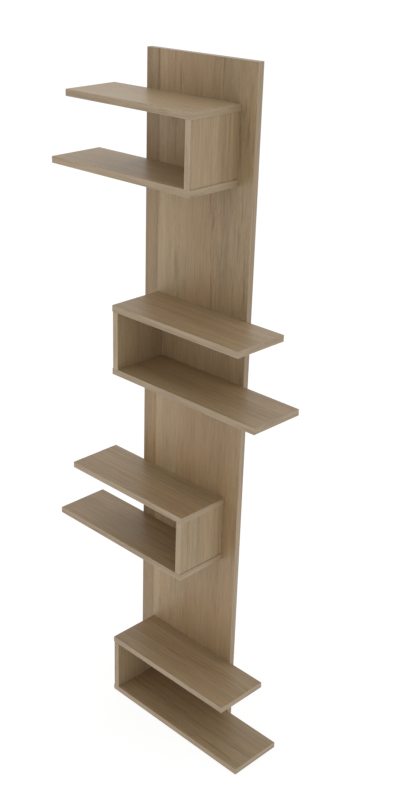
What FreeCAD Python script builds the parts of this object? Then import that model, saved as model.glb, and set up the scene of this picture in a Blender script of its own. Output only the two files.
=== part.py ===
import FreeCAD
import Part
import math
import os

# A spine bookshelf: one tall upright board, the spine, carries four short shelf units that run out
# to its two sides in turn. Each unit is a lower shelf, an upright standing on the shelf's inner end,
# and a shorter upper shelf on top of the upright. All boards are laminated chipboard with glued
# edging. Screws driven through the back of the spine hold the units, dowels line them up.
# Millimetres. X runs along the shelves, +Y points at the wall, +Z up. The origin is on the floor,
# in the middle of the overall width and depth.

# Spine
SPINE_HEIGHT = 1900.0
SPINE_WIDTH = 375.0
SPINE_THICKNESS = 18.0
SPINE_TOP_MARGIN = 100.0     # from the top of the highest shelf to the top of the spine

# Shelf units
SHELF_DEPTH = 167.0
SHELF_THICKNESS = 18.0
LOWER_SHELF_LENGTH = 512.0
UPPER_SHELF_LENGTH = 449.0
UPRIGHT_THICKNESS = 18.0
UPRIGHT_INSET = 2.0          # from the end of the shelves to the upright's outer face
UNIT_CLEAR_HEIGHT = 162.0    # between the two shelves of a unit, the upright's height
UNIT_INSET = 50.0            # from the side of the spine to the inner end of a unit
UNITS = (("bottom", 1), ("lower_middle", -1), ("upper_middle", 1), ("top", -1))   # name and side

# Edging glued to the sawn edges of the boards
EDGING_THICKNESS = 1.0
EDGING_RADIUS = 0.8
EDGING_ROUNDING_LIMIT = 0.9  # the most of the edging's thickness, and of half its width, that is rounded

# One-piece connector screws, driven through the spine
SCREW_LENGTH = 50.0
SCREW_DIAMETER = 7.0
SCREW_THREAD_DEPTH = 1.0
SCREW_SHOULDER_LENGTH = 15.0
SCREW_THREAD_PITCH = 3.0
SCREW_TIP_LENGTH = 4.0
SCREW_TIP_DIAMETER = 3.0     # at the blunt end
SCREW_HEAD_DIAMETER = 10.0
SCREW_HEAD_HEIGHT = 3.5
SCREW_SOCKET_WIDTH = 4.0     # across the flats
SCREW_SOCKET_DEPTH = 3.0
SCREW_HEAD_SINK = 0.3        # below the back of the spine
SCREW_END_DISTANCE = 40.0    # from the ends of a seam to its screws

# Dowels
DOWEL_DIAMETER = 8.0
DOWEL_LENGTH = 30.0
DOWEL_FACE_DEPTH = 10.0      # the part that sits in the face of a board
DOWEL_CHAMFER = 1.0
DOWEL_FLUTES = 10
DOWEL_FLUTE_RADIUS = 0.5
DOWEL_SCREW_DISTANCE = 32.0  # from a screw to the dowel beside it
UPRIGHT_DOWEL_DISTANCE = 40.0  # from the front and back of a shelf to the upright's dowels

# Nail-in glides under the bottom shelf and the spine
GLIDE_HEIGHT = 3.0
GLIDE_DIAMETER = 16.0
GLIDE_CHAMFER = 0.8
GLIDE_EDGE_DISTANCE = 30.0   # from the edges of the bottom shelf
SPINE_GLIDE_DISTANCE = 20.0  # from the sides of the spine
NAIL_DIAMETER = 2.0
NAIL_LENGTH = 12.0
NAIL_TIP_LENGTH = 2.0
NAIL_TIP_DIAMETER = 0.4      # at the blunt end
NAIL_HEAD_DIAMETER = 5.0
NAIL_HEAD_HEIGHT = 1.0
NAIL_HEAD_RECESS = 1.0       # from the foot of the glide to the nail's head

# Keyhole hanger plates, let into the back of the spine
HANGER_SIDE_DISTANCE = 62.5  # from the sides of the spine to the middle of the plates
HANGER_TOP_DISTANCE = 45.0   # from the top of the spine to the middle of the plates
HANGER_WIDTH = 20.0          # also the width of the plate's round ends
HANGER_THICKNESS = 1.5
HANGER_SINK = 0.2            # below the back of the spine
HANGER_SCREW_SPACING = 40.0  # the screws sit in the middle of the round ends
KEYHOLE_DIAMETER = 10.0
KEYHOLE_SLOT_WIDTH = 5.0
KEYHOLE_SLOT_RISE = 11.0     # from the middle of the round hole to the middle of the slot's end
KEYHOLE_DROP = 6.0           # from the middle of the plate to the middle of the round hole
KEYHOLE_POCKET_DEPTH = 8.0   # room for a wall screw's head, behind the plate
KEYHOLE_POCKET_MARGIN = 1.0  # the pocket is this much wider than the round hole, all round
HANGER_SCREW_DIAMETER = 3.5
HANGER_SCREW_LENGTH = 12.0
HANGER_SCREW_HEAD_DIAMETER = 6.5
HANGER_SCREW_HEAD_HEIGHT = 1.3
HANGER_SCREW_TIP_LENGTH = 3.0
HANGER_SCREW_TIP_DIAMETER = 0.5   # at the blunt end
HANGER_SLOT_WIDTH = 1.0      # driver slot
HANGER_SLOT_DEPTH = 0.6

# Clearances
FASTENER_CLEARANCE = 0.1     # all round, between a fastener and its hole
FASTENER_END_GAP = 1.0       # past the end of a fastener, in a blind hole

# Places that follow from the sizes
OVERALL_DEPTH = SHELF_DEPTH + SPINE_THICKNESS
FRONT_Y = -OVERALL_DEPTH / 2
SPINE_FRONT_Y = FRONT_Y + SHELF_DEPTH
BACK_Y = OVERALL_DEPTH / 2
BASE_Z = GLIDE_HEIGHT
SPINE_TOP_Z = BASE_Z + SPINE_HEIGHT
UNIT_HEIGHT = UNIT_CLEAR_HEIGHT + 2 * SHELF_THICKNESS
UNIT_PITCH = (SPINE_HEIGHT - SPINE_TOP_MARGIN - UNIT_HEIGHT) / (len(UNITS) - 1)
INNER_END_X = SPINE_WIDTH / 2 - UNIT_INSET   # from the middle of the spine to a unit's inner end
UPRIGHT_MIDDLE = UPRIGHT_INSET + UPRIGHT_THICKNESS / 2

X_AXIS = FreeCAD.Vector(1, 0, 0)
Y_AXIS = FreeCAD.Vector(0, 1, 0)
Z_AXIS = FreeCAD.Vector(0, 0, 1)

nodes = {}


def point(x, y, z):
    """A point, or a step from one point to another."""
    return FreeCAD.Vector(x, y, z)


def box(low, high):
    """A block between two opposite corners, given in any order."""
    corner = point(*(min(a, b) for a, b in zip(low, high)))
    size = [abs(b - a) for a, b in zip(low, high)]
    return Part.makeBox(*size, corner)


def turned(profile, at, direction):
    """A solid of revolution from (radius, distance) pairs, standing at a point along a direction."""
    outline = [point(radius, 0, distance) for radius, distance in profile]
    face = Part.Face(Part.makePolygon(outline + outline[:1]))
    solid = face.revolve(point(0, 0, 0), Z_AXIS, 360)
    return stood(solid, at, direction)


def stood(shape, at, direction):
    """A shape made along +Z at the origin, moved to a point and turned to a direction."""
    moved = shape.copy()
    moved.Placement = FreeCAD.Placement(at, FreeCAD.Rotation(Z_AXIS, direction))
    return moved


def edging_strip(start, along, outward, across, length, width):
    """A strip of edging on a board's sawn edge, with the two long outer corners rounded.

    start is a corner of the sawn edge, along runs down its length and across over its width."""
    radius = min(EDGING_RADIUS, EDGING_ROUNDING_LIMIT * min(EDGING_THICKNESS, width / 2))
    flat = EDGING_THICKNESS - radius
    bulge = radius * math.sqrt(0.5)

    def at(out, over):
        return start + outward * out + across * over

    outline = Part.Wire([
        Part.makeLine(at(0, 0), at(flat, 0)),
        Part.Arc(at(flat, 0), at(flat + bulge, radius - bulge), at(EDGING_THICKNESS, radius)).toShape(),
        Part.makeLine(at(EDGING_THICKNESS, radius), at(EDGING_THICKNESS, width - radius)),
        Part.Arc(at(EDGING_THICKNESS, width - radius), at(flat + bulge, width - radius + bulge),
                 at(flat, width)).toShape(),
        Part.makeLine(at(flat, width), at(0, width)),
        Part.makeLine(at(0, width), at(0, 0)),
    ])
    return Part.Face(outline).extrude(along * length)


def connector_screw():
    """A connector screw along +Z, with the top of its head at the origin."""
    shoulder = SCREW_DIAMETER / 2
    core = shoulder - SCREW_THREAD_DEPTH
    profile = [(0, 0), (SCREW_HEAD_DIAMETER / 2, 0), (shoulder, SCREW_HEAD_HEIGHT),
               (shoulder, SCREW_SHOULDER_LENGTH)]
    thread_length = SCREW_LENGTH - SCREW_TIP_LENGTH - SCREW_SHOULDER_LENGTH
    turns = int(thread_length // SCREW_THREAD_PITCH)
    for turn in range(turns):
        start = SCREW_SHOULDER_LENGTH + turn * SCREW_THREAD_PITCH
        profile += [(core, start + SCREW_THREAD_PITCH / 4), (core, start + SCREW_THREAD_PITCH / 2),
                    (shoulder, start + SCREW_THREAD_PITCH)]
    profile += [(core, SCREW_LENGTH - SCREW_TIP_LENGTH), (SCREW_TIP_DIAMETER / 2, SCREW_LENGTH),
                (0, SCREW_LENGTH)]
    solid = turned(profile, point(0, 0, 0), Z_AXIS)
    corner = SCREW_SOCKET_WIDTH / math.sqrt(3)
    hexagon = [point(corner * math.cos(math.radians(60 * n)), corner * math.sin(math.radians(60 * n)), 0)
               for n in range(6)]
    socket = Part.Face(Part.makePolygon(hexagon + hexagon[:1])).extrude(Z_AXIS * SCREW_SOCKET_DEPTH)
    return solid.cut(socket)


def connector_screw_hole():
    """The stepped hole that a connector screw sits in, from the back of the spine inwards, along +Z."""
    gap = FASTENER_CLEARANCE
    head, shank = SCREW_HEAD_DIAMETER / 2 + gap, SCREW_DIAMETER / 2 + gap
    end = SCREW_HEAD_SINK + SCREW_LENGTH + FASTENER_END_GAP
    return turned([(0, 0), (head, 0), (head, SCREW_HEAD_SINK), (shank, SCREW_HEAD_SINK + SCREW_HEAD_HEIGHT),
                   (shank, end), (0, end)], point(0, 0, 0), Z_AXIS)


def dowel():
    """A fluted dowel along +Z. The origin is where the two boards meet, below it the board's face."""
    radius = DOWEL_DIAMETER / 2
    foot, top = -DOWEL_FACE_DEPTH, DOWEL_LENGTH - DOWEL_FACE_DEPTH
    solid = turned([(0, foot), (radius - DOWEL_CHAMFER, foot), (radius, foot + DOWEL_CHAMFER),
                    (radius, top - DOWEL_CHAMFER), (radius - DOWEL_CHAMFER, top), (0, top)],
                   point(0, 0, 0), Z_AXIS)
    flutes = []
    for n in range(DOWEL_FLUTES):
        angle = 2 * math.pi * n / DOWEL_FLUTES
        start = point(radius * math.cos(angle), radius * math.sin(angle), foot)
        flutes.append(Part.makeCylinder(DOWEL_FLUTE_RADIUS, DOWEL_LENGTH, start, Z_AXIS))
    return solid.cut(flutes)


def dowel_hole():
    """The hole that a dowel sits in, with room for glue at its two ends."""
    radius = DOWEL_DIAMETER / 2 + FASTENER_CLEARANCE
    foot = -DOWEL_FACE_DEPTH - FASTENER_END_GAP
    return Part.makeCylinder(radius, DOWEL_LENGTH + 2 * FASTENER_END_GAP, point(0, 0, foot), Z_AXIS)


def keyhole(diameter, slot_width, rise, depth, at):
    """A keyhole from the back of the spine inwards: a round hole at a point, and a slot that rises from it.

    With a slot as wide as the round hole it is a plain bar with two round ends."""
    round_hole = Part.makeCylinder(diameter / 2, depth, at, -Y_AXIS)
    slot = box(at + point(-slot_width / 2, 0, 0), at + point(slot_width / 2, -depth, rise))
    slot_end = Part.makeCylinder(slot_width / 2, depth, at + Z_AXIS * rise, -Y_AXIS)
    return round_hole.fuse([slot, slot_end]).removeSplitter()


class Unit:
    """One shelf unit: its name, the side that its shelves run out to and the height that it sits at."""

    def __init__(self, name, side, level):
        self.name = name
        self.side = side
        self.lower_z = BASE_Z + level * UNIT_PITCH
        self.upright_z = self.lower_z + SHELF_THICKNESS
        self.upper_z = self.upright_z + UNIT_CLEAR_HEIGHT

    def x(self, along):
        """The place on X of a point this far along the unit from its inner end."""
        return self.side * (along - INNER_END_X)

    def shelves(self):
        """Name, underside and length of the two shelves."""
        return (("lower_shelf", self.lower_z, LOWER_SHELF_LENGTH),
                ("upper_shelf", self.upper_z, UPPER_SHELF_LENGTH))

    def seams(self):
        """Middle height of the two shelves, and how much of their length lies against the spine."""
        return [(shelf_z + SHELF_THICKNESS / 2, min(length, SPINE_WIDTH - UNIT_INSET))
                for _, shelf_z, length in self.shelves()]

    def screw_places(self):
        """Where the screws cross the back of the spine."""
        found = []
        for seam_z, seam_length in self.seams():
            for along in (SCREW_END_DISTANCE, seam_length - SCREW_END_DISTANCE):
                found.append(point(self.x(along), BACK_Y, seam_z))
        for height in (SCREW_END_DISTANCE, UNIT_CLEAR_HEIGHT - SCREW_END_DISTANCE):
            found.append(point(self.x(UPRIGHT_MIDDLE), BACK_Y, self.upright_z + height))
        return found

    def dowel_places(self):
        """Where the dowels cross from a board's face into the edge of the next, and which way they point."""
        found = []
        inner = SCREW_END_DISTANCE + DOWEL_SCREW_DISTANCE
        for seam_z, seam_length in self.seams():
            for along in (inner, seam_length - inner):
                found.append((point(self.x(along), SPINE_FRONT_Y, seam_z), -Y_AXIS))
        for y in (FRONT_Y + UPRIGHT_DOWEL_DISTANCE, SPINE_FRONT_Y - UPRIGHT_DOWEL_DISTANCE):
            found.append((point(self.x(UPRIGHT_MIDDLE), y, self.upright_z), Z_AXIS))
            found.append((point(self.x(UPRIGHT_MIDDLE), y, self.upper_z), -Z_AXIS))
        return found

    def glide_places(self):
        """Where glides sit under the unit's lower shelf."""
        ends = (self.x(GLIDE_EDGE_DISTANCE), self.x(LOWER_SHELF_LENGTH - GLIDE_EDGE_DISTANCE))
        sides = (FRONT_Y + GLIDE_EDGE_DISTANCE, SPINE_FRONT_Y - GLIDE_EDGE_DISTANCE)
        return [point(x, y, 0) for x in ends for y in sides]


def shelf_pieces(unit, name, shelf_z, length):
    """One shelf: its board and the four strips of edging round it."""
    edge = EDGING_THICKNESS
    start, inner, outer = unit.x(0), unit.x(edge), unit.x(length - edge)
    run_out = X_AXIS * unit.side
    node = f"{unit.name}_{name}"
    nodes[node] = box((inner, FRONT_Y + edge, shelf_z),
                      (outer, SPINE_FRONT_Y - edge, shelf_z + SHELF_THICKNESS))
    nodes[node + "_front_edging"] = edging_strip(
        point(start, FRONT_Y + edge, shelf_z), run_out, -Y_AXIS, Z_AXIS, length, SHELF_THICKNESS)
    nodes[node + "_rear_edging"] = edging_strip(
        point(start, SPINE_FRONT_Y - edge, shelf_z), run_out, Y_AXIS, Z_AXIS, length, SHELF_THICKNESS)
    end_length = SHELF_DEPTH - 2 * edge
    nodes[node + "_inner_end_edging"] = edging_strip(
        point(inner, FRONT_Y + edge, shelf_z), Y_AXIS, -run_out, Z_AXIS, end_length, SHELF_THICKNESS)
    nodes[node + "_free_end_edging"] = edging_strip(
        point(outer, FRONT_Y + edge, shelf_z), Y_AXIS, run_out, Z_AXIS, end_length, SHELF_THICKNESS)


def upright_pieces(unit):
    """The upright between the two shelves of a unit, and the edging on its front."""
    edge = EDGING_THICKNESS
    outer, inner = unit.x(UPRIGHT_INSET), unit.x(UPRIGHT_INSET + UPRIGHT_THICKNESS)
    node = f"{unit.name}_upright"
    nodes[node] = box((outer, FRONT_Y + edge, unit.upright_z), (inner, SPINE_FRONT_Y, unit.upper_z))
    nodes[node + "_front_edging"] = edging_strip(
        point(outer, FRONT_Y + edge, unit.upright_z), Z_AXIS, -Y_AXIS, X_AXIS * unit.side,
        UNIT_CLEAR_HEIGHT, UPRIGHT_THICKNESS)


def spine_pieces():
    """The spine board and the edging on its two sides, top and bottom."""
    edge = EDGING_THICKNESS
    half = SPINE_WIDTH / 2
    left, right = -half + edge, half - edge
    low, high = BASE_Z + edge, SPINE_TOP_Z - edge
    nodes["spine_panel"] = box((left, SPINE_FRONT_Y, low), (right, BACK_Y, high))
    for name, x, outward in (("left", left, -X_AXIS), ("right", right, X_AXIS)):
        nodes[f"spine_{name}_edging"] = edging_strip(
            point(x, SPINE_FRONT_Y, BASE_Z), Z_AXIS, outward, Y_AXIS, SPINE_HEIGHT, SPINE_THICKNESS)
    for name, z, outward in (("bottom", low, -Z_AXIS), ("top", high, Z_AXIS)):
        nodes[f"spine_{name}_edging"] = edging_strip(
            point(left, SPINE_FRONT_Y, z), X_AXIS, outward, Y_AXIS, right - left, SPINE_THICKNESS)


def drill(tools, *names):
    """Cuts a set of holes out of the boards that are named."""
    for name in names:
        touching = [tool for tool in tools if tool.BoundBox.intersect(nodes[name].BoundBox)]
        if touching:
            nodes[name] = nodes[name].cut(touching)


def fit_screws_and_dowels(units):
    """The connector screws and dowels, and their holes in the boards and the edging that they cross."""
    screw, screw_hole = connector_screw(), connector_screw_hole()
    peg, peg_hole = dowel(), dowel_hole()
    screws, dowels, holes = [], [], []
    for unit in units:
        for place in unit.screw_places():
            screws.append(stood(screw, place - Y_AXIS * SCREW_HEAD_SINK, -Y_AXIS))
            holes.append(stood(screw_hole, place, -Y_AXIS))
        for place, direction in unit.dowel_places():
            dowels.append(stood(peg, place, direction))
            holes.append(stood(peg_hole, place, direction))
    drill(holes, "spine_panel")
    for ending in ("_shelf", "_upright", "_rear_edging"):
        drill(holes, *[name for name in nodes if name.endswith(ending)])
    nodes["connector_screws"] = Part.makeCompound(screws)
    nodes["dowels"] = Part.makeCompound(dowels)


def fit_glides(bottom_unit):
    """Glides under the bottom shelf and the spine, each held by a nail up into its board."""
    spine_middle_y = SPINE_FRONT_Y + SPINE_THICKNESS / 2
    spine_x = SPINE_WIDTH / 2 - SPINE_GLIDE_DISTANCE
    places = bottom_unit.glide_places() + [point(x, spine_middle_y, 0) for x in (-spine_x, spine_x)]
    radius, nail, nail_head = GLIDE_DIAMETER / 2, NAIL_DIAMETER / 2, NAIL_HEAD_DIAMETER / 2
    seat = NAIL_HEAD_RECESS + NAIL_HEAD_HEIGHT
    gap = FASTENER_CLEARANCE
    glides, nails, holes = [], [], []
    for place in places:
        disc = turned([(0, 0), (radius - GLIDE_CHAMFER, 0), (radius, GLIDE_CHAMFER), (radius, GLIDE_HEIGHT),
                       (0, GLIDE_HEIGHT)], place, Z_AXIS)
        well = turned([(0, 0), (nail_head + gap, 0), (nail_head + gap, seat), (nail + gap, seat),
                       (nail + gap, GLIDE_HEIGHT), (0, GLIDE_HEIGHT)], place, Z_AXIS)
        glides.append(disc.cut(well))
        foot = place + Z_AXIS * NAIL_HEAD_RECESS
        nails.append(turned([(0, 0), (nail_head, 0), (nail_head, NAIL_HEAD_HEIGHT), (nail, NAIL_HEAD_HEIGHT),
                             (nail, NAIL_LENGTH - NAIL_TIP_LENGTH), (NAIL_TIP_DIAMETER / 2, NAIL_LENGTH),
                             (0, NAIL_LENGTH)], foot, Z_AXIS))
        holes.append(Part.makeCylinder(nail + gap, NAIL_LENGTH + FASTENER_END_GAP, foot, Z_AXIS))
    drill(holes, f"{bottom_unit.name}_lower_shelf", "spine_panel", "spine_bottom_edging")
    nodes["floor_glides"] = Part.makeCompound(glides)
    nodes["glide_nails"] = Part.makeCompound(nails)


def hanger_screw():
    """A small countersunk screw along +Z, with the top of its slotted head at the origin."""
    head, shank = HANGER_SCREW_HEAD_DIAMETER / 2, HANGER_SCREW_DIAMETER / 2
    solid = turned([(0, 0), (head, 0), (shank, HANGER_SCREW_HEAD_HEIGHT),
                    (shank, HANGER_SCREW_LENGTH - HANGER_SCREW_TIP_LENGTH),
                    (HANGER_SCREW_TIP_DIAMETER / 2, HANGER_SCREW_LENGTH), (0, HANGER_SCREW_LENGTH)],
                   point(0, 0, 0), Z_AXIS)
    slot = box((-head, -HANGER_SLOT_WIDTH / 2, 0), (head, HANGER_SLOT_WIDTH / 2, HANGER_SLOT_DEPTH))
    return solid.cut(slot)


def hanger_screw_hole():
    """The countersunk hole of a hanger's screw, along +Z from the back of the plate."""
    gap = FASTENER_CLEARANCE
    head, shank = HANGER_SCREW_HEAD_DIAMETER / 2 + gap, HANGER_SCREW_DIAMETER / 2 + gap
    end = HANGER_SCREW_LENGTH + FASTENER_END_GAP
    return turned([(0, 0), (head, 0), (shank, HANGER_SCREW_HEAD_HEIGHT), (shank, end), (0, end)],
                  point(0, 0, 0), Z_AXIS)


def fit_hangers():
    """Two keyhole plates let into the back of the spine near its top, each held by two small screws."""
    plate_depth = HANGER_SINK + HANGER_THICKNESS
    recess_width = HANGER_WIDTH + 2 * FASTENER_CLEARANCE
    pocket_width = KEYHOLE_DIAMETER + 2 * KEYHOLE_POCKET_MARGIN
    middle_z = SPINE_TOP_Z - HANGER_TOP_DISTANCE
    low_screw_z = middle_z - HANGER_SCREW_SPACING / 2
    keyhole_z = middle_z - KEYHOLE_DROP
    hanger_x = SPINE_WIDTH / 2 - HANGER_SIDE_DISTANCE
    screw, screw_hole = hanger_screw(), hanger_screw_hole()
    plates, screws = [], []
    for x in (-hanger_x, hanger_x):
        outer = point(x, BACK_Y - HANGER_SINK, 0)
        inner = point(x, BACK_Y - plate_depth, 0)
        plate = keyhole(HANGER_WIDTH, HANGER_WIDTH, HANGER_SCREW_SPACING, HANGER_THICKNESS,
                        outer + Z_AXIS * low_screw_z)
        recess = keyhole(recess_width, recess_width, HANGER_SCREW_SPACING, plate_depth,
                         point(x, BACK_Y, low_screw_z))
        slot = keyhole(KEYHOLE_DIAMETER, KEYHOLE_SLOT_WIDTH, KEYHOLE_SLOT_RISE, HANGER_THICKNESS,
                       outer + Z_AXIS * keyhole_z)
        pocket = keyhole(pocket_width, pocket_width, KEYHOLE_SLOT_RISE, KEYHOLE_POCKET_DEPTH,
                         inner + Z_AXIS * keyhole_z)
        places = [outer + Z_AXIS * z for z in (low_screw_z, low_screw_z + HANGER_SCREW_SPACING)]
        holes = [stood(screw_hole, place, -Y_AXIS) for place in places]
        screws += [stood(screw, place, -Y_AXIS) for place in places]
        plates.append(plate.cut([slot] + holes))
        nodes["spine_panel"] = nodes["spine_panel"].cut([recess, pocket] + holes)
    nodes["hanger_plates"] = Part.makeCompound(plates)
    nodes["hanger_screws"] = Part.makeCompound(screws)


def main():
    """Makes every piece and writes each node to a file of its own."""
    spine_pieces()
    units = [Unit(name, side, level) for level, (name, side) in enumerate(UNITS)]
    for unit in units:
        for name, shelf_z, length in unit.shelves():
            shelf_pieces(unit, name, shelf_z, length)
        upright_pieces(unit)
    fit_screws_and_dowels(units)
    fit_glides(units[0])
    fit_hangers()
    os.makedirs("parts", exist_ok=True)
    for name, shape in nodes.items():
        shape.exportStep(f"parts/{name}.step")
    print(len(nodes), "nodes,", sum(len(shape.Solids) for shape in nodes.values()), "solids")


main()
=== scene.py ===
"""Looks of a spine bookshelf: laminated boards, glued edging, hidden hardware, a studio and a camera.

Metres throughout. X runs along the shelves, +Y points at the wall and +Z up, as in the frame.
"""

import logging
import math
from dataclasses import dataclass, replace
from enum import Enum
from typing import Callable, ClassVar, Mapping, Sequence

import bmesh
import bpy
from mathutils import Color, Matrix, Vector

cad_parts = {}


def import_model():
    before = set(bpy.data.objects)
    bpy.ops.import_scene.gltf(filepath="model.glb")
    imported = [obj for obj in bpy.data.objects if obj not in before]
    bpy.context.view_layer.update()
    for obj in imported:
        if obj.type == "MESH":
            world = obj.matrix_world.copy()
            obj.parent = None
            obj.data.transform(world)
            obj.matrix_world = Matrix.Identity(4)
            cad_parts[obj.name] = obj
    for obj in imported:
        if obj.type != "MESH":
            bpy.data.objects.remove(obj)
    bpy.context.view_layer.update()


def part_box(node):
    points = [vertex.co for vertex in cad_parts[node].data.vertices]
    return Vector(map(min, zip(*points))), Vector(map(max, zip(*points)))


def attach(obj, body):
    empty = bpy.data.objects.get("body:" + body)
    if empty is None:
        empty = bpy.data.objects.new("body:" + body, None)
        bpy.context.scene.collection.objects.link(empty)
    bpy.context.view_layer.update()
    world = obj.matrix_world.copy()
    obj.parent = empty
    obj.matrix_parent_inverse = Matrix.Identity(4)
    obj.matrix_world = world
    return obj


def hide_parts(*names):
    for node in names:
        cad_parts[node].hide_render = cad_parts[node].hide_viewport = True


LOG = logging.getLogger("spine_bookshelf")
IMAGE_WIDTH = 407
IMAGE_HEIGHT = 799
BODY = "root"
MM = 0.001
FULL_CHANNEL = 255
# Noises and tones lie about this value.
MIDDLE = 0.5
GOLDEN_SHARE = 0.6180339887
WHITE = (1.0, 1.0, 1.0, 1.0)

Pair = tuple[float, float]
Triple = tuple[float, float, float]
Box = tuple[Vector, Vector]
Socket = bpy.types.NodeSocket
Values = Mapping[str | int, object]


class Axis(Enum):
    """A direction of the frame: of the grain, of a board's thickness or of a blank's height."""

    X = 0
    Y = 1
    Z = 2


class Part(Enum):
    """What is selected on a mesh that is open on the bench, as Blender names it."""

    CORNER = "VERT"
    EDGE = "EDGE"
    FACE = "FACE"


class Sum(Enum):
    """A sum that a Math or Vector Math node works out, as Blender names it."""

    ADD = "ADD"
    SUBTRACT = "SUBTRACT"
    MULTIPLY = "MULTIPLY"
    MINIMUM = "MINIMUM"
    MAXIMUM = "MAXIMUM"
    ABSOLUTE = "ABSOLUTE"
    GREATER_THAN = "GREATER_THAN"
    LESS_THAN = "LESS_THAN"


class Blend(Enum):
    """The way that two colours are mixed, as Blender names it."""

    PLAIN = "MIX"
    TINT = "MULTIPLY"


class Slot(Enum):
    """The names of the material slots of new pieces, which are passed along but not read."""

    HANGER = "hanger_steel"
    GLIDE = "glide_plastic"


def srgb(red: int, green: int, blue: int) -> Triple:
    """Turns a display colour, with parts from 0 to 255, into the linear colour that a shader takes."""
    shown = Color((red / FULL_CHANNEL, green / FULL_CHANNEL, blue / FULL_CHANNEL))
    return tuple(shown.from_srgb_to_scene_linear())


def thinnest(box: Box) -> Axis:
    """Gives back the axis on which a box is thinnest."""
    size = box[1] - box[0]
    return min(Axis, key=lambda axis: size[axis.value])


def longest(box: Box) -> Axis:
    """Gives back the axis on which a box is longest."""
    size = box[1] - box[0]
    return max(Axis, key=lambda axis: size[axis.value])


@dataclass(frozen=True)
class Noise:
    """How often a noise turns over in a metre on each axis, and how much finer noise is in it."""

    x: float
    y: float
    z: float
    detail: float = 2.0
    roughness: float = 0.5


@dataclass(frozen=True)
class Patches:
    """A noise, and the values of it between which its patches fade in."""

    noise: Noise
    start: float
    end: float


@dataclass(frozen=True)
class Relief:
    """How strongly a height roughens a surface, and how deep it is in metres."""

    strength: float
    depth: float


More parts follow.
